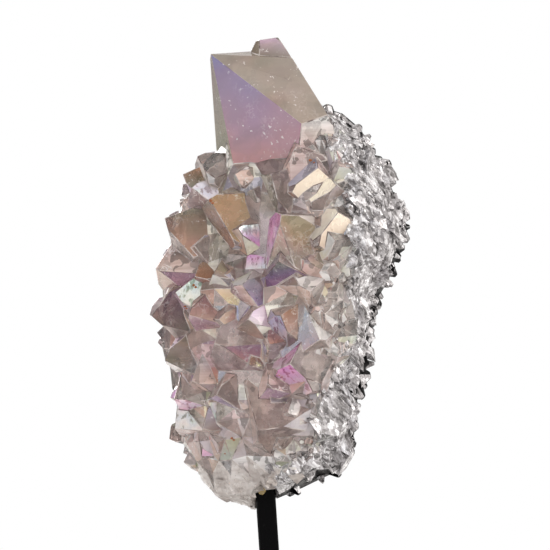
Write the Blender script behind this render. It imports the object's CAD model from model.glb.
"""Aura quartz crystal on stand: its looks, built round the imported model.

Units are metres, +Z is up and the camera looks along +Y. Places on the stone are given as they are seen
from the front: X and height in millimetres, with heights counted from where the bar enters the stone.
"""

import math
import random

import bpy
from mathutils import Matrix, Vector, noise
from mathutils.bvhtree import BVHTree
from mathutils.kdtree import KDTree

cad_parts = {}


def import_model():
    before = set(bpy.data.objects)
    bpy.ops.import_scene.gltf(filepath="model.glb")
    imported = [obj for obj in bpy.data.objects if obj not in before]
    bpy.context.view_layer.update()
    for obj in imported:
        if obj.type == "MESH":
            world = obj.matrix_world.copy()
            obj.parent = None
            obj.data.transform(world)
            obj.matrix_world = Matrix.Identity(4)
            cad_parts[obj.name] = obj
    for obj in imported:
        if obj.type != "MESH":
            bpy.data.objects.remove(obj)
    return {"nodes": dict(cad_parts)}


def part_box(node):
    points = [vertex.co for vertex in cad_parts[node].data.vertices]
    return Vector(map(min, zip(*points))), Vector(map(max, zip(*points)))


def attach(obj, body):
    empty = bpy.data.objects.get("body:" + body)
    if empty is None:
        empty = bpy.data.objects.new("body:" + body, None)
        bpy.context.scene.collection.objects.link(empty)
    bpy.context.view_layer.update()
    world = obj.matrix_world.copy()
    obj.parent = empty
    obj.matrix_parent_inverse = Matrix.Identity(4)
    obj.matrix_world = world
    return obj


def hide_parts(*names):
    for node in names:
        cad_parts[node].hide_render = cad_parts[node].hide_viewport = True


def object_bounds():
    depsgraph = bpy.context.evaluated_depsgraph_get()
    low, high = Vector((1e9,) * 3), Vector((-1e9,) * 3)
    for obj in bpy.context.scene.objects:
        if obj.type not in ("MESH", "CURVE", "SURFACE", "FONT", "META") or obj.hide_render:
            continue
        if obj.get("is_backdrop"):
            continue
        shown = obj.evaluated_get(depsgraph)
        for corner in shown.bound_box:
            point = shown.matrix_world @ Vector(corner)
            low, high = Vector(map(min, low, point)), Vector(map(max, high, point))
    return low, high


MM = 0.001
STONE_HEIGHT = 85 * MM  # where the bar enters the stone, above the table
BEFORE_STONE = -300.0  # a Y well in front of it
WALL_TURN = math.radians(28)  # how far the piece of geode wall is turned about the bar
TO_EDGE = Vector((math.cos(WALL_TURN), -math.sin(WALL_TURN), 0))
TO_BACK = Vector((math.sin(WALL_TURN), math.cos(WALL_TURN), 0))

# Camera
CAMERA_DISTANCE = 3.0
CAMERA_SIDEWAYS = 7.7 * MM
CAMERA_HEIGHT = 153.4 * MM
FRAME_WIDTH = 176 * MM  # what the photograph takes in at the bar
CAMERA_ROLL = math.radians(3.8)
SENSOR = 36.0

# Facets
FACET_ANGLE = math.radians(2)  # triangles flatter than this to each other are one crystal face
EDGE_ANGLE = math.radians(18)  # sharper edges are worn to a narrow chamfer
CHAMFER = 0.2 * MM
FULL_CHAMFER_LENGTH = 1.4 * MM  # edges with shorter neighbours get a narrower chamfer
# Middle of the geode wall: height, X and half of its thickness
WALL_MIDDLE = (
    (-6, -5, 13),
    (12, 2.5, 18),
    (30, 2.2, 20),
    (50, 4.5, 21.5),
    (70, 9.3, 22),
    (80, 13.3, 21.5),
    (100, 14.8, 19),
    (116, 16.5, 15),
    (124, 16.5, 13),
)
PAINT_SHARE = 0.46  # the back's paint starts at this share of the half thickness behind the middle
PAINT_RAGGED = 0.14  # how far its edge wanders, in half thicknesses
PAINT_WAVE = 6 * MM  # and over what length
PAINT_UNDERNEATH = 0.6  # how much further the paint comes to the front on the underside
PAINTED_TURN = -0.3  # and leaves bare what faces further to the front than this
PAINT_TOP = 126.0  # faces that reach higher belong to the large crystals and are bare
CRUST_TOP = 8.0  # below this the front is bare crust without crystals
UNDERSIDE = -0.35  # the Z of a face's direction from which it counts as facing down
RIGHT_OF_BAR = 3.0
LIP_HEIGHT = 2.0  # the dark underside to the right of the bar starts below this
LIP_RISE = 0.237  # and its border rises so steeply to the right
PAINTED_LIP = -0.2  # it is painted where a face is turned down further than this
ROUND_BAR = (5.5, 3.5)  # no lumps before the bar's top: so far to both sides and up to this height
EDGE_FRONT = -0.25  # the broken edge starts where the surface faces its side at least this much
# Where the crystals end and the broken edge starts, as seen from the front: height and X
EDGE_BORDER = (
    (-10.0, 14.0),
    (2.0, 17.0),
    (12.7, 18.5),
    (17.7, 19.0),
    (23.7, 19.5),
    (30.8, 20.5),
    (36.2, 24.8),
    (41.3, 29.3),
    (49.2, 32.1),
    (59.0, 30.5),
    (71.5, 33.6),
    (80.2, 33.8),
    (94.1, 32.9),
    (110.2, 31.3),
    (120.1, 28.2),
    (150.0, 26.0),
)

# Tints of single crystal faces, as sRGB
TINTS = {
    "white": (240, 236, 232),
    "cream": (236, 218, 200),
    "grey": (176, 170, 168),
    "smoke": (126, 118, 114),
    "taupe": (178, 156, 148),
    "rose": (178, 152, 146),
    "salmon": (182, 150, 136),
    "brown": (140, 98, 76),
    "rust": (132, 84, 58),
    "mauve": (130, 102, 110),
    "lilac": (168, 150, 168),
    "violet": (124, 92, 146),
    "lavender": (76, 72, 126),
    "pink": (134, 84, 84),
    "blue": (148, 150, 170),
    "olive": (130, 126, 106),
    "moss": (102, 106, 94),
    "sage": (166, 172, 152),
    "tan": (138, 127, 118),
    "stone": (126, 121, 114),
    "plum": (98, 78, 90),
    "magenta": (242, 126, 204),
}

# Material slots of the crystals
CLEAR, VIOLET, GOLD, GREEN, CLOUDY, SOFT, BRIGHT, FLASH, RIM, EDGE, PAINT, CRUST = range(12)
# Name, how clear, roughness, film in nanometres and its IOR, how whitened and how broken up inside
QUARTZ_FINISHES = (
    ("clear_quartz", 0.85, 0.02, 0.0, 1.33, 0.5, 0.8),
    ("violet_film", 0.55, 0.04, 318.0, 1.7, 0.08, 0.4),
    ("gold_film", 0.55, 0.04, 255.0, 1.7, 0.08, 0.4),
    ("green_film", 0.55, 0.04, 205.0, 1.65, 0.08, 0.4),
    ("cloudy_quartz", 0.45, 0.12, 0.0, 1.33, 0.3, 1.0),
    ("soft_film", 0.38, 0.06, 0.0, 1.33, 0.0, 0.12),
)
FILM = None  # the film that goes with the face's upper tint
FILM_OF_TINT = {
    "lilac": VIOLET,
    "mauve": VIOLET,
    "plum": VIOLET,
    "rose": VIOLET,
    "tan": GOLD,
    "brown": GOLD,
    "salmon": GOLD,
    "cream": GOLD,
    "taupe": GOLD,
    "white": CLOUDY,
    "grey": GREEN,
    "smoke": GREEN,
    "olive": GREEN,
    "moss": GREEN,
    "sage": GREEN,
    "blue": GREEN,
}

# Faces that show from the front: X and height of a point on the face, its finish, its upper and lower tint
FACES = (
    (1.5, 120.2, SOFT, "lavender", "pink"),
    (13.1, 125.8, SOFT, "stone", "tan"),
    (-7.3, 122.4, SOFT, "smoke", "olive"),
    (10.9, 141.5, SOFT, "lilac", "smoke"),
    (23.1, 116.5, CLOUDY, "cream", "rose"),
    (-8.3, 103.2, CLEAR, "smoke", "grey"),
    (-16.0, 102.0, FILM, "brown", "moss"),
    (-15.3, 98.2, FLASH, "white", "white"),
    (-19.9, 92.7, CLOUDY, "taupe", "taupe"),
    (-14.1, 88.2, FILM, "moss", "salmon"),
    (-7.9, 89.7, FILM, "brown", "brown"),
    (0.8, 82.7, FLASH, "white", "magenta"),
    (6.3, 80.4, FLASH, "magenta", "white"),
    (2.0, 73.1, FLASH, "magenta", "white"),
    (15.8, 79.1, FILM, "tan", "tan"),
    (1.2, 67.3, FILM, "smoke", "violet"),
    (10.9, 101.3, CLEAR, "mauve", "mauve"),
    (18.2, 106.2, CLOUDY, "taupe", "taupe"),
    (24.1, 97.8, BRIGHT, "cream", "cream"),
    (29.8, 96.2, BRIGHT, "cream", "white"),
    (28.1, 85.4, BRIGHT, "cream", "salmon"),
    (26.4, 79.1, FILM, "cream", "cream"),
    (-28.0, 71.8, FILM, "plum", "mauve"),
    (-14.8, 68.3, FILM, "brown", "rust"),
    (-10.3, 62.3, CLEAR, "rose", "salmon"),
    (-23.1, 63.4, FLASH, "white", "cream"),
    (-31.1, 59.2, FILM, "plum", "moss"),
    (7.7, 53.4, FLASH, "blue", "sage"),
    (-27.3, 44.2, FILM, "olive", "moss"),
    (-16.3, 44.4, CLOUDY, "rose", "rose"),
    (8.0, 48.2, FILM, "mauve", "brown"),
    (9.0, 40.4, FLASH, "magenta", "white"),
    (9.6, 37.0, FLASH, "magenta", "cream"),
    (0.5, 41.7, FILM, "brown", "plum"),
    (23.6, 51.3, CLEAR, "grey", "taupe"),
    (23.1, 44.0, CLEAR, "white", "grey"),
    (3.0, 26.0, CLEAR, "taupe", "brown"),
    (-3.0, 22.0, CLEAR, "salmon", "taupe"),
    (23.0, 22.0, EDGE, "grey", "smoke"),
    (21.0, 11.0, EDGE, "grey", "smoke"),
    (17.0, 39.0, CLEAR, "white", "grey"),
    (-23.5, 74.5, CLOUDY, "mauve", "taupe"),
    (-7.0, 50.0, CLEAR, "lilac", "taupe"),
    (15.5, 49.0, FILM, "olive", "brown"),
    (11.5, 96.0, CLEAR, "mauve", "taupe"),
    (-9.0, 86.5, FILM, "olive", "brown"),
    (-17.0, 38.5, CLOUDY, "grey", "rose"),
    (-9.0, 32.0, CLEAR, "taupe", "mauve"),
    (9.0, 69.0, FILM, "moss", "violet"),
    (-15.5, 58.5, FILM, "mauve", "taupe"),
    (-3.0, 45.0, FILM, "plum", "brown"),
    (11.5, 53.5, FILM, "brown", "taupe"),
    (-16.5, 54.5, FILM, "lilac", "lilac"),
    (10.0, 77.0, FILM, "salmon", "tan"),
    (24.5, 84.0, BRIGHT, "cream", "tan"),
    (0.5, 9.0, CLOUDY, "white", "grey"),
    (-1.0, 52.0, FILM, "smoke", "taupe"),
    (2.0, 55.0, CLOUDY, "violet", "lilac"),
    (19.0, 65.5, CLOUDY, "white", "grey"),
    (6.0, 34.5, CLOUDY, "rose", "rose"),
    (25.0, 94.5, BRIGHT, "cream", "cream"),
    (-15.0, 71.0, FILM, "brown", "rust"),
    (-7.5, 62.5, FILM, "taupe", "brown"),
    (1.0, 31.0, CLOUDY, "rose", "rose"),
    (-16.3, 30.9, FILM, "sage", "sage"),
    (-13.6, 28.5, FLASH, "cream", "sage"),
    (-14.8, 24.1, FILM, "blue", "smoke"),
    (-24.1, 28.9, FLASH, "cream", "sage"),
    (-23.5, 23.4, FLASH, "white", "cream"),
    (-23.6, 17.6, CLOUDY, "white", "grey"),
    (-6.8, 19.7, CLEAR, "taupe", "taupe"),
    (7.6, 18.7, CLEAR, "smoke", "taupe"),
    (-0.9, 11.3, CLEAR, "grey", "taupe"),
    (-4.7, 74.1, CLEAR, "rose", "rose"),
    (-15.8, 76.4, CLEAR, "taupe", "taupe"),
    (18.3, 59.7, CLOUDY, "taupe", "taupe"),
)
# Tints and finishes of the faces that the list leaves open, taken in turn by how a face is turned
OPEN_TINTS = (
    "taupe", "rose", "grey", "lilac", "tan", "mauve", "smoke", "salmon", "cream", "olive", "taupe", "blue",
)
OPEN_FINISHES = (CLEAR, CLOUDY, FILM, CLEAR, CLOUDY, CLEAR, FILM)
# How fast the choice changes with the way a face is turned and, per metre, with its place
TINT_CHANGE = (0.8, 45.0)
FINISH_CHANGE = (0.9, -38.0)
CHOICE_SPREAD = 0.9  # takes most of the noise's range over a whole list
NEAR_EDGE = 11.0  # next to the broken edge the crystals are whiter
NEAR_EDGE_TINTS = ("white", "grey", "cream", "grey", "white", "rose", "taupe")
LOW = 28.0  # and below this height they are greyer
LOW_TINTS = ("grey", "taupe", "sage", "white", "taupe", "smoke", "rose")

LARGE_CRYSTALS = (SOFT, "stone", "tan")  # for the faces of the large crystals that the list leaves open

# Tints are darker deep between crystals and brighter at their tips
NEARBY = 7 * MM  # a corner is compared with what is this near to it
FULL_RELIEF = 3.5 * MM  # and standing out by this much counts in full
RELIEF_SHARE = 0.85
GAP_SHADE = (0.27, 0.18, 0.165)  # how much of each colour is left in the gaps
TIP_GAIN = 1.8

# Colours that the film drifts through
SHEEN = (
    (0.28, (96, 112, 104)),
    (0.72, (132, 140, 176)),
    (0.38, (138, 134, 96)),
    (0.46, (176, 134, 96)),
    (0.54, (182, 120, 116)),
    (0.63, (140, 104, 158)),
)

# Cloudy core that the clear crystals grow from
CORE_VOXEL = 2.2 * MM
CORE_DEPTH = 4.2 * MM
CORE_TOP = 116.0
CORE_CUT = (-0.35, 0.0, 0.94)  # what stands above this slanting plane has no core

# Crumbs of broken quartz: sides of the cone, its top's radius and the plane that cuts it
GRAINS = ((5, 0.35, (0.6, 0.2, 0.8)), (4, 0.5, (-0.5, 0.5, 0.7)), (6, 0.15, (0.2, -0.6, 0.8)))
# Druse on the broken edge: crumbs of several sizes (millimetres) and how many of each
CRUMB_SEED = 7
CRUMBS = (((1.5, 3.0), 480), ((0.8, 1.5), 1400), ((0.35, 0.8), 2600))
LUMPS = (((1.8, 3.6), 90), ((0.8, 1.6), 420))  # the same for the milky crust
CRUMB_TILT = 0.26
CRUMB_SUNK = (1.2, 0.75)  # large and small crumbs
SMALL_CRUMB = 0.9  # only crumbs smaller than this are black
CRUMB_RUN = Vector((0.5, -0.2, -0.84))  # the way the break's ridges run
CRUMB_RUN_STRETCH = (1.2, 2.6)
BLACKENED = (-0.12, 0.06)  # crumbs this close to the paint have caught some of it, in half thicknesses
SPLINTER, BLACK_CRUMB, LUMP = range(3)  # material slots of the druse

# Veils and bright flecks inside the crystals: how many, how deep and how large (millimetres)
VEIL_SEED = 21
VEIL_COUNT = 240
VEIL_DEPTH = (1.2, 7.5)
VEIL_ROOM = 0.9  # share of the distance to the nearest face that they may take
VEIL_WAVE = 0.12
FLECK_SEED = 22
FLECK_COUNT = 420
FLECK_DEPTH = (0.5, 9.0)
FLECK_SIZE = (0.12, 0.42)

# Rust that has settled between the crystals: X and height
RUST_SEED = 23
RUST_SPECKS = (
    (-11.2, 93.4), (-10.6, 92.6), (-21.6, 60.3), (-21.2, 59.6), (6.9, 36.6), (7.8, 36.0), (6.1, 37.2),
    (-9.5, 17.4), (-8.9, 16.8), (-12.0, 12.6), (-18.4, 66.9), (-17.8, 66.2), (21.3, 104.0), (22.4, 103.2),
)
RUST_SIZE = (0.25, 0.55)


class Wire:
    """An output of a node, which takes part in sums as a number does."""

    def __init__(self, nodes, socket):
        self.nodes = nodes
        self.socket = socket

    def sum_node(self, operation, first, second=0.0):
        return self.nodes.node("ShaderNodeMath", {"operation": operation}, {0: first, 1: second})

    def __add__(self, other):
        return self.sum_node("ADD", self, other)

    __radd__ = __add__

    def __sub__(self, other):
        return self.sum_node("SUBTRACT", self, other)

    def __rsub__(self, other):
        return self.sum_node("SUBTRACT", other, self)

    def __mul__(self, other):
        return self.sum_node("MULTIPLY", self, other)

    __rmul__ = __mul__

    def __truediv__(self, other):
        return self.sum_node("DIVIDE", self, other)

    def __rtruediv__(self, other):
        return self.sum_node("DIVIDE", other, self)


class NodeTree:
    """The nodes of a material or of the world."""

    def __init__(self, owner):
        self.owner = owner
        owner.use_nodes = True
        self.tree = owner.node_tree
        self.tree.nodes.clear()

    def node(self, kind, settings=None, sockets=None, output=0):
        """Adds a node with its settings and with values or wires on its sockets."""
        node = self.tree.nodes.new(kind)
        for key, value in (settings or {}).items():
            if key == "stops":
                for number, (position, colour) in enumerate(value):
                    stops = node.color_ramp.elements
                    stop = stops[number] if number < 2 else stops.new(position)
                    stop.position = position
                    stop.color = (*colour, 1)
            else:
                setattr(node, key, value)
        for key, value in (sockets or {}).items():
            if isinstance(value, Wire):
                self.tree.links.new(value.socket, node.inputs[key])
            else:
                node.inputs[key].default_value = value
        return Wire(self, node.outputs[output] if node.outputs else None)

    def mix(self, share, first, second, blend="MIX"):
        """A colour between two, or one laid over the other."""
        settings = {"data_type": "RGBA", "blend_type": blend}
        return self.node("ShaderNodeMix", settings, {0: share, 6: first, 7: second}, 2)

    def between(self, value, low, high, new_low=0.0, new_high=1.0):
        """Takes a value from one range to another and stops at the ends."""
        sockets = {0: value, 1: low, 2: high, 3: new_low, 4: new_high}
        return self.node("ShaderNodeMapRange", {"clamp": True}, sockets)

    def place(self):
        return self.node("ShaderNodeTexCoord", output=3)

    def stretched(self, place, scale):
        return self.node("ShaderNodeMapping", sockets={0: place, 3: scale})

    def ridged(self, place, across, along):
        """Places drawn out along the ridges of the break, with how often a pattern repeats both ways."""
        sockets = {0: place, 2: (0.2, -0.54, 0.0), 3: (1 / across, 1 / across, 1 / along)}
        return self.node("ShaderNodeMapping", {"vector_type": "TEXTURE"}, sockets)

    def part(self, vector, number):
        """X, Y or Z of a vector, as number 0, 1 or 2."""
        return self.node("ShaderNodeSeparateXYZ", sockets={0: vector}, output=number)

    def warped(self, place, scale, reach):
        """Places shifted about, so that a pattern laid on them loses its straight lines."""
        sockets = {"Vector": place, "Scale": scale, "Detail": 2.0}
        shift = self.node("ShaderNodeTexNoise", sockets=sockets, output=1)
        sockets = {0: shift, 1: (reach,) * 3, 2: place}
        return self.node("ShaderNodeVectorMath", {"operation": "MULTIPLY_ADD"}, sockets)

    def cells(self, place, scale, feature="F1", output=0):
        """A pattern of cells: distances from their middles or edges, or as output 1 random colours."""
        sockets = {"Vector": place, "Scale": scale}
        return self.node("ShaderNodeTexVoronoi", {"feature": feature}, sockets, output)

    def tint(self, place):
        """The tint of a crystal face, which runs from its upper to its lower colour with a wavy passage."""
        upper = self.node("ShaderNodeAttribute", {"attribute_name": "tint"})
        lower = self.node("ShaderNodeAttribute", {"attribute_name": "lower_tint"})
        span = self.node("ShaderNodeAttribute", {"attribute_name": "span"}, output=1)
        share = (self.part(place, 2) - self.part(span, 0)) / self.part(span, 1)
        wave = self.noise(place, 60.0, 1.0) - 0.5
        return self.mix(self.between(share + wave * 0.5, 0.05, 0.95), lower, upper)

    def noise(self, place, scale, detail=3.0, roughness=0.5):
        sockets = {"Vector": place, "Scale": scale, "Detail": detail, "Roughness": roughness}
        return self.node("ShaderNodeTexNoise", sockets=sockets)

    def bump(self, height, strength, distance, normal=None):
        sockets = {"Height": height, "Strength": strength, "Distance": distance}
        if normal:
            sockets["Normal"] = normal
        return self.node("ShaderNodeBump", sockets=sockets)

    def shader(self, sockets):
        return self.node("ShaderNodeBsdfPrincipled", sockets=sockets)

    def finish(self, surface):
        self.node("ShaderNodeOutputMaterial", sockets={"Surface": surface})
        return self.owner


def linear(colour):
    """An sRGB colour from 0 to 255 as the renderer's linear numbers."""
    parts = [part / 255 for part in colour]
    return tuple(part / 12.92 if part < 0.04045 else ((part + 0.055) / 1.055) ** 2.4 for part in parts)


def opaque(colour):
    return (*linear(colour), 1.0)


def new_material(name):
    return NodeTree(bpy.data.materials.new(name))


# Operators work on what is selected, so each step names its object first

def choose(thing):
    """Makes one object the only selected one."""
    if bpy.context.mode != "OBJECT":
        bpy.ops.object.mode_set(mode="OBJECT")
    bpy.ops.object.select_all(action="DESELECT")
    thing.select_set(True)
    bpy.context.view_layer.objects.active = thing


def apply_modifier(thing, kind, **settings):
    choose(thing)
    modifier = thing.modifiers.new(kind.title(), kind)
    for key, value in settings.items():
        setattr(modifier, key, value)
    bpy.ops.object.modifier_apply(modifier=modifier.name)


def seen_place(x, height, y=0.0):
    """A point given in millimetres as seen from the front."""
    return Vector((x * MM, y * MM, height * MM + STONE_HEIGHT))


def seen_from_front(point):
    """X and height in millimetres of a point of the stone."""
    return point.x / MM, (point.z - STONE_HEIGHT) / MM


def camera():
    data = bpy.data.cameras.new("photograph")
    data.sensor_width = SENSOR
    data.lens = SENSOR * CAMERA_DISTANCE / FRAME_WIDTH
    data.clip_end = 20.0
    thing = bpy.data.objects.new("photograph", data)
    bpy.context.scene.collection.objects.link(thing)
    stand = Matrix.Translation((CAMERA_SIDEWAYS, -CAMERA_DISTANCE, CAMERA_HEIGHT))
    turn = Matrix.Rotation(math.pi / 2, 4, "X") @ Matrix.Rotation(-CAMERA_ROLL, 4, "Z")
    thing.matrix_world = stand @ turn
    bpy.context.scene.camera = thing
    bpy.context.scene.view_settings.view_transform = "Standard"


def soft_light(name, place, size, power, colour, aim=(0.0, 0.0, 0.16)):
    data = bpy.data.lights.new(name, "AREA")
    data.shape = "RECTANGLE"
    data.size, data.size_y = size
    data.energy = power
    data.color = colour
    thing = bpy.data.objects.new(name, data)
    bpy.context.scene.collection.objects.link(thing)
    thing.location = place
    thing.rotation_euler = (Vector(aim) - Vector(place)).to_track_quat("-Z", "Y").to_euler()


def studio():
    """White surroundings with a darker side, soft lights and a pale floor."""
    world = bpy.data.worlds.new("studio")
    bpy.context.scene.world = world
    nodes = NodeTree(world)
    direction = nodes.node("ShaderNodeTexCoord", output=0)
    side = nodes.between(nodes.part(direction, 0), -0.9, 0.8, 0.42, 1.15)
    level = nodes.between(nodes.part(direction, 2), -0.6, 0.9, 0.65, 1.25)
    blotches = nodes.between(nodes.noise(direction, 3.2, 1.0), 0.4, 0.6, 0.2, 1.35)
    around = nodes.node("ShaderNodeBackground", sockets={0: (1.0, 0.97, 0.94, 1), 1: side * level * blotches})
    behind = nodes.node("ShaderNodeBackground", sockets={0: (1, 1, 1, 1), 1: 1.0})
    ray = nodes.node("ShaderNodeLightPath", output=0)
    mixed = nodes.node("ShaderNodeMixShader", sockets={0: ray, 1: around, 2: behind})
    nodes.node("ShaderNodeOutputWorld", sockets={"Surface": mixed})
    soft_light("key", (1.15, -0.8, 0.72), (0.75, 0.75), 13.0, (1.0, 0.96, 0.91))
    soft_light("fill", (-1.1, -1.0, 0.3), (1.0, 1.0), 10.0, (0.97, 0.98, 1.0))
    soft_light("rim", (-0.45, 0.8, 0.55), (0.5, 0.5), 9.0, (1.0, 0.98, 0.97))
    bpy.ops.object.select_all(action="DESELECT")
    bpy.ops.mesh.primitive_circle_add(vertices=128, radius=0.6, fill_type="NGON")
    floor = bpy.context.object
    floor.name = "floor"
    nodes = new_material("pale_floor")
    grain = nodes.noise(nodes.place(), 40.0, 4.0)
    tone = nodes.mix(grain, opaque((232, 231, 229)), opaque((240, 239, 238)))
    floor.data.materials.append(nodes.finish(nodes.shader({"Base Color": tone, "Roughness": 0.7})))
    floor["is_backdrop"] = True


def quartz_material(name, transmission, roughness, film, film_ior, whitened, broken):
    """Quartz with a film of metal on its faces.

    The film drifts from one colour to the next. Cracks and growth fronts break the light up inside the stone.
    """
    nodes = new_material(name)
    place = nodes.place()
    tint = nodes.mix(whitened, nodes.tint(place), (0.93, 0.9, 0.89, 1))
    drift = nodes.noise(place, 62.0, 1.0)
    stops = [(at, linear(colour)) for at, colour in SHEEN]
    sheen = nodes.node("ShaderNodeValToRGB", {"stops": stops}, {0: drift})
    shown = nodes.between(nodes.noise(place, 45.0, 1.0), 0.4, 0.65, 0.1, 0.5) * (1 - whitened)
    coloured = nodes.mix(shown, tint, sheen, "OVERLAY")
    cloud = nodes.noise(place, 150.0, 4.0, 0.6)
    hazy = nodes.mix(nodes.between(cloud, 0.52, 0.75, 0.0, 0.3 * broken), coloured, (0.9, 0.86, 0.84, 1))
    bent = nodes.warped(place, 190.0, 0.012)
    blocks = nodes.cells(nodes.stretched(bent, (1.0, 1.0, 0.6)), 230.0, output=1)
    inside = nodes.mix(broken, hazy, nodes.between(blocks, 0.25, 0.75, 0.42, 1.14), "MULTIPLY")
    lines = nodes.noise(nodes.stretched(place, (60.0, 60.0, 900.0)), 1.0, 2.0)
    striated = nodes.mix(0.7 * broken, inside, nodes.between(lines, 0.35, 0.65, 0.7, 1.1), "MULTIPLY")
    edges = nodes.cells(nodes.warped(place, 260.0, 0.016), 170.0, "DISTANCE_TO_EDGE")
    cracked_places = nodes.between(nodes.noise(place, 120.0, 2.0), 0.5, 0.62)
    cracks = nodes.between(edges, 0.01, 0.05, 0.95, 0.0) * cracked_places
    cracked = nodes.mix(cracks * broken, striated, (1.0, 0.97, 0.95, 1))
    specks = nodes.between(nodes.noise(place, 950.0, 2.0), 0.65, 0.68) * nodes.between(cloud, 0.5, 0.6)
    body = nodes.mix(specks * 0.8, cracked, (1.0, 0.98, 0.97, 1))
    bump = nodes.bump(lines * 0.5 + nodes.noise(place, 420.0, 2.0) * 0.5, 0.2, 0.3 * MM)
    return nodes.finish(
        nodes.shader(
            {
                "Base Color": body,
                "Roughness": nodes.between(cloud, 0.3, 0.75, roughness, roughness + 0.08),
                "IOR": 1.544,
                "Transmission Weight": transmission,
                "Thin Film Thickness": film,
                "Thin Film IOR": film_ior,
                "Normal": bump,
            }
        )
    )


def rim_material():
    """Worn edges between faces, here bright and there dark with the stone behind them."""
    nodes = new_material("worn_edges")
    place = nodes.place()
    patches = nodes.noise(place, 210.0, 3.0)
    colour = nodes.mix(nodes.between(patches, 0.44, 0.56), opaque((112, 94, 92)), opaque((220, 210, 205)))
    return nodes.finish(
        nodes.shader(
            {
                "Base Color": colour,
                "Roughness": nodes.between(patches, 0.3, 0.7, 0.1, 0.25),
                "IOR": 1.544,
                "Transmission Weight": 0.45,
            }
        )
    )


def bright_material():
    """Faces that throw the soft light straight back."""
    nodes = new_material("lit_film")
    place = nodes.place()
    tint = nodes.tint(place)
    lines = nodes.noise(nodes.stretched(place, (220.0, 220.0, 60.0)), 1.0, 4.0, 0.6)
    specks = nodes.noise(place, 700.0, 2.0)
    light = nodes.mix(nodes.between(lines, 0.3, 0.7, 0.15, 0.7), tint, opaque((252, 242, 230)))
    colour = nodes.mix(nodes.between(specks, 0.6, 0.75, 0.0, 0.5), light, opaque((186, 160, 140)))
    return nodes.finish(
        nodes.shader(
            {
                "Base Color": colour,
                "Roughness": nodes.between(lines, 0.3, 0.7, 0.18, 0.32),
                "IOR": 1.544,
                "Transmission Weight": 0.1,
                "Thin Film Thickness": 268.0,
                "Thin Film IOR": 1.7,
                "Normal": nodes.bump(lines, 0.2, 0.3 * MM),
            }
        )
    )


def flash_material():
    """Faces whose film flashes in many colours, broken up by the growth steps on them."""
    nodes = new_material("flashing_film")
    place = nodes.place()
    tint = nodes.tint(place)
    steps = nodes.noise(nodes.stretched(place, (500.0, 500.0, 260.0)), 1.0, 3.0, 0.65)
    spread = nodes.noise(place, 170.0, 2.0)
    rainbow = nodes.node(
        "ShaderNodeValToRGB",
        {
            "stops": (
                (0.3, linear((235, 150, 205))),
                (0.75, linear((250, 235, 190))),
                (0.42, linear((250, 235, 245))),
                (0.55, linear((190, 200, 240))),
                (0.65, linear((190, 230, 215))),
            )
        },
        {0: spread},
    )
    sheen = nodes.mix(0.35, tint, rainbow)
    gaps = nodes.mix(0.75, tint, opaque((120, 100, 98)), "MULTIPLY")
    colour = nodes.mix(nodes.between(steps, 0.4, 0.5), gaps, sheen)
    bump = nodes.bump(steps, 0.25, 0.4 * MM)
    return nodes.finish(
        nodes.shader(
            {
                "Base Color": colour,
                "Metallic": nodes.between(steps, 0.42, 0.55, 0.05, 0.35),
                "Roughness": nodes.between(spread, 0.3, 0.7, 0.1, 0.3),
                "IOR": 1.544,
                "Transmission Weight": 0.15,
                "Coat Weight": 0.6,
                "Thin Film Thickness": 420.0,
                "Thin Film IOR": 2.1,
                "Normal": bump,
            }
        )
    )


def broken_material(name, metallic):
    """Silvery broken quartz: bright splinters among dark hollows, drawn out along the ridges of the break."""
    nodes = new_material(name)
    place = nodes.place()
    ridges = nodes.noise(nodes.ridged(place, 420.0, 130.0), 1.0, 4.0, 0.65)
    splinters = nodes.cells(nodes.ridged(place, 1.0, 0.5), 1100.0, output=1)
    tone = nodes.node(
        "ShaderNodeValToRGB",
        {
            "stops": (
                (0.32, linear((70, 67, 68))),
                (0.66, linear((250, 250, 253))),
                (0.43, linear((136, 133, 134))),
                (0.54, linear((188, 185, 188))),
            )
        },
        {0: ridges * 0.72 + splinters * 0.28},
    )
    bump = nodes.bump(splinters, 0.5, 0.4 * MM, nodes.bump(ridges, 0.6, 1.0 * MM))
    return nodes.finish(
        nodes.shader(
            {
                "Base Color": tone,
                "Metallic": metallic,
                "Roughness": nodes.between(splinters, 0.3, 0.7, 0.08, 0.35),
                "IOR": 1.544,
                "Coat Weight": 0.3,
                "Normal": bump,
            }
        )
    )


def crust_material(name):
    """Milky crust that the crystals stand on, frosted by fine breaks."""
    nodes = new_material(name)
    place = nodes.place()
    cells = nodes.cells(place, 420.0)
    lines = nodes.noise(nodes.stretched(place, (160.0, 160.0, 620.0)), 1.0, 3.0, 0.6)
    clouds = nodes.noise(place, 120.0, 4.0, 0.6)
    tone = nodes.node(
        "ShaderNodeValToRGB",
        {
            "stops": (
                (0.3, linear((150, 138, 132))),
                (0.7, linear((240, 236, 233))),
                (0.5, linear((206, 197, 192))),
            )
        },
        {0: clouds * 0.6 + lines * 0.4},
    )
    bump = nodes.bump(cells, 0.5, 0.7 * MM, nodes.bump(lines, 0.5, 0.8 * MM))
    return nodes.finish(
        nodes.shader(
            {
                "Base Color": tone,
                "Roughness": nodes.between(clouds, 0.3, 0.7, 0.12, 0.4),
                "IOR": 1.544,
                "Transmission Weight": 0.3,
                "Normal": bump,
            }
        )
    )


def veil_material():
    """Thin white feathers, which are old healed cracks."""
    nodes = new_material("inner_veil")
    place = nodes.place()
    wisps = nodes.noise(place, 520.0, 4.0, 0.65)
    patches = nodes.noise(place, 150.0, 2.0)
    shown = nodes.between(wisps * 0.6 + patches * 0.4, 0.5, 0.66, 0.0, 0.85)
    colour = nodes.mix(patches, opaque((236, 226, 222)), opaque((252, 250, 250)))
    return nodes.finish(nodes.shader({"Base Color": colour, "Roughness": 0.3, "Alpha": shown}))


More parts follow.
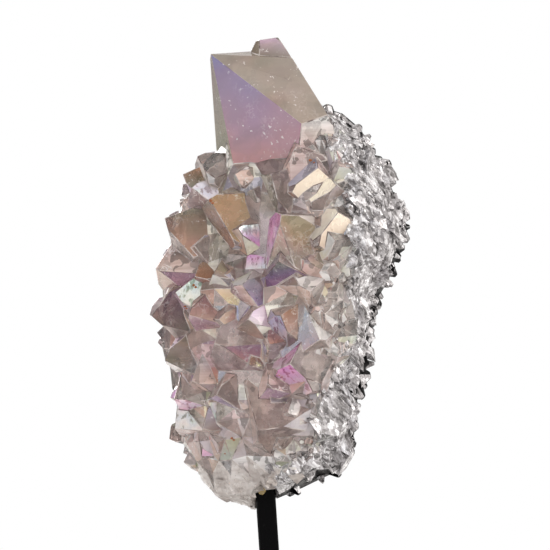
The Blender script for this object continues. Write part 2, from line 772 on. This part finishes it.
def fleck_material():
    nodes = new_material("bright_fleck")
    patches = nodes.noise(nodes.place(), 300.0, 2.0)
    colour = nodes.mix(patches, opaque((250, 240, 232)), opaque((255, 255, 255)))
    return nodes.finish(nodes.shader({"Base Color": colour, "Metallic": 0.3, "Roughness": 0.2}))


def rust_material():
    nodes = new_material("rust")
    patches = nodes.noise(nodes.place(), 1400.0, 3.0)
    colour = nodes.mix(patches, opaque((92, 46, 22)), opaque((176, 98, 44)))
    bump = nodes.bump(patches, 0.5, 0.1 * MM)
    return nodes.finish(nodes.shader({"Base Color": colour, "Roughness": 0.7, "Normal": bump}))


def paint_material(name, place_scale, ragged):
    """Glossy black paint with brush and dust marks, chipped to grey stone where it ends."""
    nodes = new_material(name)
    place = nodes.place()
    brushed = nodes.noise(nodes.stretched(place, place_scale), 1.0, 3.0)
    dust = nodes.noise(place, 900.0, 2.0)
    colour = nodes.mix(nodes.between(dust, 0.68, 0.8, 0.0, 0.1), opaque((4, 4, 5)), opaque((90, 88, 86)))
    bump = nodes.bump(brushed, 0.15, 0.25 * MM)
    if ragged:
        chips = nodes.between(nodes.noise(place, 260.0, 3.0, 0.6), 0.7, 0.76)
        colour = nodes.mix(chips * 0.4, colour, opaque((105, 100, 98)))
        pits = nodes.cells(place, 300.0, "SMOOTH_F1")
        rock = nodes.noise(place, 130.0, 5.0, 0.6)
        bump = nodes.bump(pits, 0.5, 0.8 * MM, nodes.bump(rock, 0.8, 2.2 * MM))
    return nodes.finish(
        nodes.shader(
            {
                "Base Color": colour,
                "Roughness": nodes.between(brushed, 0.3, 0.7, 0.2, 0.4),
                "Specular IOR Level": 0.06,
                "Normal": bump,
            }
        )
    )


def glue_material():
    nodes = new_material("amber_glue")
    place = nodes.place()
    depth = nodes.noise(place, 300.0, 2.0)
    colour = nodes.mix(depth, opaque((176, 148, 84)), opaque((222, 204, 150)))
    bump = nodes.bump(nodes.noise(place, 500.0, 1.0), 0.2, 0.2 * MM)
    return nodes.finish(
        nodes.shader(
            {
                "Base Color": colour,
                "Roughness": nodes.between(depth, 0.3, 0.7, 0.15, 0.3),
                "Transmission Weight": 0.35,
                "IOR": 1.5,
                "Normal": bump,
            }
        )
    )


def core_material():
    """Milky quartz with brownish clouds, seen through the clear crystals."""
    nodes = new_material("milky_quartz")
    place = nodes.place()
    clouds = nodes.noise(place, 70.0, 4.0, 0.6)
    fine = nodes.noise(place, 480.0, 3.0)
    tone = nodes.node(
        "ShaderNodeValToRGB",
        {
            "stops": (
                (0.25, linear((170, 140, 130))),
                (0.8, linear((250, 246, 243))),
                (0.45, linear((222, 204, 198))),
                (0.6, linear((240, 228, 224))),
            )
        },
        {0: clouds * 0.7 + fine * 0.3},
    )
    bump = nodes.bump(fine, 0.6, 0.6 * MM)
    return nodes.finish(nodes.shader({"Base Color": tone, "Roughness": 0.55, "Normal": bump}))


def whole_faces(node, name):
    """A copy of a CAD node with its loose triangles joined into whole crystal faces."""
    piece = bpy.data.objects.new(name, node.data.copy())
    bpy.context.scene.collection.objects.link(piece)
    choose(piece)
    bpy.ops.mesh.customdata_custom_splitnormals_clear()
    bpy.ops.object.mode_set(mode="EDIT")
    bpy.ops.mesh.select_all(action="SELECT")
    bpy.ops.mesh.remove_doubles(threshold=1e-6)
    bpy.ops.mesh.dissolve_limited(angle_limit=FACET_ANGLE)
    bpy.ops.object.mode_set(mode="OBJECT")
    bpy.ops.object.shade_flat()
    return piece


def chamfer_edges(piece, slot):
    """Wears the sharp edges down a little, less where they are short."""
    mesh = piece.data
    lengths = {}
    for edge in mesh.edges:
        first, second = edge.vertices
        length = (mesh.vertices[first].co - mesh.vertices[second].co).length
        for corner in edge.vertices:
            lengths[corner] = min(length, lengths.get(corner, 1.0))
    sides = {}
    for face in mesh.polygons:
        for key in face.edge_keys:
            sides.setdefault(key, []).append(face.normal)
    weights = mesh.attributes.new("bevel_weight_edge", "FLOAT", "EDGE")
    for number, edge in enumerate(mesh.edges):
        normals = sides[edge.key]
        sharp = len(normals) == 2 and normals[0].angle(normals[1]) > EDGE_ANGLE
        room = min(lengths[corner] for corner in edge.vertices) / FULL_CHAMFER_LENGTH
        weights.data[number].value = min(1.0, room) if sharp else 0.0
    settings = {"width": CHAMFER, "segments": 1, "limit_method": "WEIGHT", "use_clamp_overlap": False}
    apply_modifier(piece, "BEVEL", material=slot, **settings)


def edge_border(height):
    """X at which the broken edge starts at a height."""
    for (low, x_low), (high, x_high) in zip(EDGE_BORDER, EDGE_BORDER[1:]):
        if height <= high:
            return x_low + (x_high - x_low) * max(0.0, height - low) / (high - low)
    return EDGE_BORDER[-1][1]


def behind_paint_line(point):
    """How far a point lies behind the line where the back's paint starts, in half thicknesses of the wall."""
    _, height = seen_from_front(point)
    row = WALL_MIDDLE[-1]
    for low, high in zip(WALL_MIDDLE, WALL_MIDDLE[1:]):
        if height <= high[0]:
            share = max(0.0, height - low[0]) / (high[0] - low[0])
            row = [a + (b - a) * share for a, b in zip(low, high)]
            break
    middle = seen_place(row[1], height, 1.0)
    ragged = PAINT_RAGGED * noise.noise(point / PAINT_WAVE)
    return (point - middle).dot(TO_BACK) / (row[2] * MM) - PAINT_SHARE - ragged


def under_lip(point):
    """Whether a place is on the dark underside to the right of the bar."""
    x, height = seen_from_front(point)
    return x > RIGHT_OF_BAR and height < LIP_HEIGHT + (x - RIGHT_OF_BAR) * LIP_RISE


def before_bar(point):
    """Whether a place is round the bar's top, which shows in its notch."""
    x, height = seen_from_front(point)
    return abs(x) < ROUND_BAR[0] and height < ROUND_BAR[1]


def region_of(centre, facing, top):
    """Which finish a place has that belongs to the back, to the broken edge or to the crust, or none."""
    x, height = seen_from_front(centre)
    behind = behind_paint_line(centre)
    underneath = facing.z < UNDERSIDE and height < CRUST_TOP and x > RIGHT_OF_BAR
    painted_lip = facing.z < PAINTED_LIP and under_lip(centre)
    if behind > 0 and facing.dot(TO_BACK) > PAINTED_TURN and top < PAINT_TOP:
        return PAINT
    if behind > -PAINT_UNDERNEATH and (underneath or painted_lip):
        return PAINT
    if x > edge_border(height) and facing.dot(TO_EDGE) > EDGE_FRONT and top < PAINT_TOP:
        return EDGE
    if height < CRUST_TOP:
        return EDGE if underneath or under_lip(centre) else CRUST
    return None


def pick(choices, place):
    """One of some choices, the same each time for the same place in the noise."""
    return choices[int((noise.noise(place) * CHOICE_SPREAD + 0.5) * len(choices)) % len(choices)]


def open_choice(centre, facing):
    """Tint and finish of a face that the list leaves open, from how it is turned and roughly where it is."""
    x, height = seen_from_front(centre)
    tints = OPEN_TINTS
    if height < LOW:
        tints = LOW_TINTS
    if x > edge_border(height) - NEAR_EDGE:
        tints = NEAR_EDGE_TINTS
    tint = pick(tints, facing * TINT_CHANGE[0] + centre * TINT_CHANGE[1])
    finish = pick(OPEN_FINISHES, facing * FINISH_CHANGE[0] + centre * FINISH_CHANGE[1] + Vector((7, 3, 1)))
    return finish, tint, tint


def stand_out(mesh):
    """How far each corner stands out from what is round it: 1 at tips, -1 in the gaps between crystals."""
    places = KDTree(len(mesh.vertices))
    for vert in mesh.vertices:
        places.insert(vert.co, vert.index)
    places.balance()
    values = []
    for vert in mesh.vertices:
        near = places.find_range(vert.co, NEARBY)
        middle = sum((place for place, _, _ in near), Vector()) / len(near)
        facing = sum((mesh.vertices[number].normal for _, number, _ in near), Vector())
        if facing.length > 0:
            facing.normalize()
        values.append(max(-1.0, min(1.0, (vert.co - middle).dot(facing) / FULL_RELIEF)))
    return values


def surface_of(mesh):
    points = [vert.co[:] for vert in mesh.vertices]
    return BVHTree.FromPolygons(points, [face.vertices[:] for face in mesh.polygons])


def first_hit(surface, x, height):
    """Place, direction and face number of what is seen from the front at X and height."""
    place, facing, number, _ = surface.ray_cast(seen_place(x, height, BEFORE_STONE), Vector((0, 1, 0)))
    return place, facing, number


def give_tints(piece):
    """Sets each face's finish and the tint in its corners."""
    mesh = piece.data
    relief = stand_out(mesh)
    surface = surface_of(mesh)
    listed = {}
    for x, height, finish, upper, lower in FACES:
        _, _, number = first_hit(surface, x, height)
        if number is not None and mesh.polygons[number].material_index != RIM:
            listed.setdefault(number, (finish, upper, lower))
    tints = mesh.color_attributes.new("tint", "FLOAT_COLOR", "CORNER")
    lower_tints = mesh.color_attributes.new("lower_tint", "FLOAT_COLOR", "CORNER")
    spans = mesh.attributes.new("span", "FLOAT_VECTOR", "CORNER")
    for face in mesh.polygons:
        heights = [mesh.vertices[mesh.loops[loop].vertex_index].co.z for loop in face.loop_indices]
        region = region_of(face.center, face.normal, (max(heights) - STONE_HEIGHT) / MM)
        finish, upper, lower = listed.get(face.index) or open_choice(face.center, face.normal)
        if face.index not in listed and (max(heights) - STONE_HEIGHT) / MM > PAINT_TOP:
            finish, upper, lower = LARGE_CRYSTALS
        if finish == FILM:
            finish = FILM_OF_TINT[upper]
        high, low = linear(TINTS[upper]), linear(TINTS[lower])
        if region is not None:
            face.material_index = region
            face.use_smooth = region in (PAINT, CRUST)
        elif face.material_index != RIM:
            face.material_index = finish
        bottom, reach = min(heights), max(max(heights) - min(heights), 1e-6)
        lit = face.material_index in (BRIGHT, FLASH)
        for loop in face.loop_indices:
            out = min(1.0, (relief[mesh.loops[loop].vertex_index] + 1) * RELIEF_SHARE)
            gains = [1.0 if lit else TIP_GAIN * (deep + (1 - deep) * out) for deep in GAP_SHADE]
            tints.data[loop].color = (*[min(1.0, part * gain) for part, gain in zip(high, gains)], 1.0)
            lower_tints.data[loop].color = (*[min(1.0, part * gain) for part, gain in zip(low, gains)], 1.0)
            spans.data[loop].vector = (bottom, reach, 0.0)


def crystals(node):
    """The clear crystals, faced, chamfered and tinted."""
    piece = whole_faces(node, "crystals")
    piece.data.materials.clear()
    for row in QUARTZ_FINISHES:
        piece.data.materials.append(quartz_material(*row))
    piece.data.materials.append(bright_material())
    piece.data.materials.append(flash_material())
    piece.data.materials.append(rim_material())
    piece.data.materials.append(broken_material("silvery_break", 0.25))
    piece.data.materials.append(paint_material("back_paint", (90.0, 90.0, 90.0), True))
    piece.data.materials.append(crust_material("milky_crust"))
    chamfer_edges(piece, RIM)
    give_tints(piece)
    as_quartz(piece)
    return piece


def cloudy_core(node):
    """What the crystals grow from: the stone's own shape, drawn in and smoothed."""
    piece = whole_faces(node, "cloudy_core")
    piece.data.materials.clear()
    piece.data.materials.append(core_material())
    choose(piece)
    bpy.ops.object.mode_set(mode="EDIT")
    bpy.ops.mesh.select_all(action="SELECT")
    top = seen_place(5.0, CORE_TOP)
    bpy.ops.mesh.bisect(plane_co=top, plane_no=CORE_CUT, use_fill=True, clear_outer=True)
    bpy.ops.object.mode_set(mode="OBJECT")
    apply_modifier(piece, "REMESH", mode="VOXEL", voxel_size=CORE_VOXEL)
    apply_modifier(piece, "DISPLACE", strength=-CORE_DEPTH, mid_level=0.0)
    apply_modifier(piece, "REMESH", mode="VOXEL", voxel_size=CORE_VOXEL)
    apply_modifier(piece, "SMOOTH", factor=0.5, iterations=2)
    as_quartz(piece)


def grain_shapes():
    """Three angular crumbs of broken quartz, each cut from a cone."""
    shapes = []
    cone = {"radius1": 1.0, "depth": 1.8, "location": (0, 0, 0.3)}
    for sides, top, cut in GRAINS:
        bpy.ops.object.select_all(action="DESELECT")
        bpy.ops.mesh.primitive_cone_add(vertices=sides, radius2=top, **cone)
        shape = bpy.context.object
        bpy.ops.object.mode_set(mode="EDIT")
        bpy.ops.mesh.select_all(action="SELECT")
        bpy.ops.mesh.bisect(plane_co=(0, 0, 0.95), plane_no=cut, use_fill=True, clear_outer=True)
        bpy.ops.object.mode_set(mode="OBJECT")
        choose(shape)
        bpy.ops.object.transform_apply(location=True, rotation=True, scale=True)
        points = [vert.co.copy() for vert in shape.data.vertices]
        shapes.append((points, [face.vertices[:] for face in shape.data.polygons]))
        bpy.data.objects.remove(shape)
    return shapes


def places_on(piece, finishes, chance, count):
    """Random places on faces of some finishes, by area, with the way the surface faces there."""
    mesh = piece.data
    mesh.calc_loop_triangles()
    triangles, totals, total = [], [], 0.0
    for triangle in mesh.loop_triangles:
        if mesh.polygons[triangle.polygon_index].material_index in finishes:
            total += triangle.area
            triangles.append(triangle)
            totals.append(total)
    places = []
    for triangle in chance.choices(triangles, cum_weights=totals, k=count):
        first, second = sorted((chance.random(), chance.random()))
        corners = [mesh.vertices[number].co for number in triangle.vertices]
        point = corners[0] * first + corners[1] * (second - first) + corners[2] * (1 - second)
        places.append((point, triangle.normal.copy()))
    return places


def made_of_copies(name, copies):
    """One object of many copies, each given as corner points, faces and a material slot."""
    points, faces, slots = [], [], []
    for corners, shape_faces, slot in copies:
        start = len(points)
        points.extend(corners)
        faces.extend([[number + start for number in face] for face in shape_faces])
        slots.extend([slot] * len(shape_faces))
    mesh = bpy.data.meshes.new(name)
    mesh.from_pydata(points, [], faces)
    mesh.polygons.foreach_set("material_index", slots)
    thing = bpy.data.objects.new(name, mesh)
    bpy.context.scene.collection.objects.link(thing)
    return thing


def as_quartz(thing):
    """Sets what carries a piece of the stone, what it stands for and whose finish it has."""
    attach(thing, "root")
    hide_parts("quartz_cluster")


def random_tilt(chance, most):
    return Vector([chance.uniform(-most, most) for _ in range(3)])


def edge_druse(piece):
    """Glittering crumbs over the broken edge, drawn out along its ridges, and lumps on the milky crust."""
    chance = random.Random(CRUMB_SEED)
    shapes = grain_shapes()
    low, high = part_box("quartz_cluster")
    copies = []
    for finish, rows in ((EDGE, CRUMBS), (CRUST, LUMPS)):
        for sizes, count in rows:
            for point, facing in places_on(piece, (finish,), chance, count):
                size = chance.uniform(*sizes) * MM
                sunk = CRUMB_SUNK[0] if size > SMALL_CRUMB * MM else CRUMB_SUNK[1]
                turn = (facing + random_tilt(chance, CRUMB_TILT)).to_track_quat("Z", "Y").to_matrix()
                turn = turn @ Matrix.Rotation(chance.uniform(0, 2 * math.pi), 3, "Z")
                along = (CRUMB_RUN - facing * CRUMB_RUN.dot(facing)).normalized()
                stretch = chance.uniform(*CRUMB_RUN_STRETCH) - 1
                shape_points, shape_faces = chance.choice(shapes)
                corners = []
                for corner in shape_points:
                    moved = turn @ (corner * size)
                    moved = moved + along * moved.dot(along) * stretch + point - facing * size * sunk
                    limits = zip(moved, low, high)
                    corners.append([min(max(value, least), most) for value, least, most in limits])
                behind = behind_paint_line(point)
                bare = size > SMALL_CRUMB * MM and under_lip(point)
                if behind > BLACKENED[1] or bare or before_bar(point):
                    continue
                slot = LUMP if finish == CRUST else SPLINTER
                if size < SMALL_CRUMB * MM and chance.uniform(*BLACKENED) < behind:
                    slot = BLACK_CRUMB
                copies.append((corners, shape_faces, slot))
    druse = made_of_copies("edge_druse", copies)
    druse.data.materials.append(broken_material("glittering_crumbs", 0.3))
    druse.data.materials.append(paint_material("crumb_paint", (90.0, 90.0, 90.0), False))
    druse.data.materials.append(crust_material("milky_lumps"))
    as_quartz(druse)


def wavy_sheet():
    """A small sheet with a wave in it, two units wide."""
    bpy.ops.object.select_all(action="DESELECT")
    bpy.ops.mesh.primitive_circle_add(vertices=8, radius=1.0, fill_type="TRIFAN")
    sheet = bpy.context.object
    bpy.ops.object.mode_set(mode="EDIT")
    bpy.ops.mesh.select_all(action="SELECT")
    bpy.ops.mesh.subdivide(number_cuts=1)
    bpy.ops.object.mode_set(mode="OBJECT")
    points = [vert.co.copy() for vert in sheet.data.vertices]
    faces = [face.vertices[:] for face in sheet.data.polygons]
    bpy.data.objects.remove(sheet)
    return points, faces


def scattered_inside(piece, chance, count, depths, finishes):
    """Places inside the crystals with the distance from each to the nearest surface."""
    surface = surface_of(piece.data)
    for point, facing in places_on(piece, finishes, chance, count):
        depth = chance.uniform(*depths) * MM
        centre = point - facing * depth
        nearest, nearest_facing, _, distance = surface.find_nearest(centre)
        if (centre - nearest).dot(nearest_facing) < 0:
            yield centre, distance


def inner_veils(piece):
    """Healed cracks that hang in the clear crystals."""
    chance = random.Random(VEIL_SEED)
    sheet_points, sheet_faces = wavy_sheet()
    copies = []
    finishes = (CLEAR, VIOLET, GOLD, GREEN, CLOUDY)
    for centre, room in scattered_inside(piece, chance, VEIL_COUNT, VEIL_DEPTH, finishes):
        size = room * VEIL_ROOM
        turn = random_tilt(chance, 1).to_track_quat("Z", "Y").to_matrix()
        stretch = Vector((chance.uniform(0.4, 1), chance.uniform(0.6, 1), 1))
        corners = []
        for corner in sheet_points:
            wave = noise.noise(corner * 1.6 + centre * 900) * VEIL_WAVE
            corners.append(centre + turn @ (Vector((corner.x, corner.y, wave)) * stretch * size))
        copies.append((corners, sheet_faces, 0))
    veils = made_of_copies("inner_veils", copies)
    veils.data.materials.append(veil_material())
    as_quartz(veils)


def inner_flecks(piece):
    """Bright flecks in the two large crystals and just under the faces of the others."""
    chance = random.Random(FLECK_SEED)
    copies = []
    finishes = (CLEAR, VIOLET, GOLD, GREEN)
    for centre, room in scattered_inside(piece, chance, FLECK_COUNT, FLECK_DEPTH, finishes):
        size = min(chance.uniform(*FLECK_SIZE) * MM, room * VEIL_ROOM)
        corners = [centre + random_tilt(chance, 1) * size for _ in range(4)]
        copies.append((corners, [(0, 1, 2), (0, 3, 1), (1, 3, 2), (0, 2, 3)], 0))
    flecks = made_of_copies("inner_flecks", copies)
    flecks.data.materials.append(fleck_material())
    as_quartz(flecks)


def rust_specks(piece):
    """Small clots of rust where crystals meet."""
    chance = random.Random(RUST_SEED)
    surface = surface_of(piece.data)
    bpy.ops.object.select_all(action="DESELECT")
    bpy.ops.mesh.primitive_ico_sphere_add(subdivisions=2, radius=1.0)
    clot = bpy.context.object
    points = [vert.co.copy() for vert in clot.data.vertices]
    faces = [face.vertices[:] for face in clot.data.polygons]
    bpy.data.objects.remove(clot)
    copies = []
    for x, height in RUST_SPECKS:
        place, facing, _ = first_hit(surface, x, height)
        if place is None:
            continue
        size = chance.uniform(*RUST_SIZE) * MM
        turn = facing.to_track_quat("Z", "Y").to_matrix()
        flat = Vector((1, chance.uniform(0.6, 1), 0.35)) * size
        corners = []
        for corner in points:
            lump = 1 + 0.5 * noise.noise(corner * 1.7 + place * 2000)
            corners.append(place + turn @ (corner * lump * flat))
        copies.append((corners, faces, 0))
    rust = made_of_copies("rust_specks", copies)
    rust.data.materials.append(rust_material())
    as_quartz(rust)


def main():
    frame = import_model()
    packed_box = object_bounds()
    bpy.ops.object.select_all(action="DESELECT")
    camera()
    studio()
    nodes = frame["nodes"]
    finishes = {
        "stand_rod": paint_material("bar_paint", (60.0, 60.0, 14.0), False),
        "stand_base": paint_material("base_paint", (12.0, 90.0, 60.0), False),
        "glue_bead": glue_material(),
    }
    for name, finish in finishes.items():
        nodes[name].data.materials.clear()
        nodes[name].data.materials.append(finish)
    clear = crystals(nodes["quartz_cluster"])
    cloudy_core(nodes["quartz_cluster"])
    edge_druse(clear)
    inner_veils(clear)
    inner_flecks(clear)
    rust_specks(clear)
    boxes = [[list(corner) for corner in box] for box in (packed_box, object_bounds())]


main()
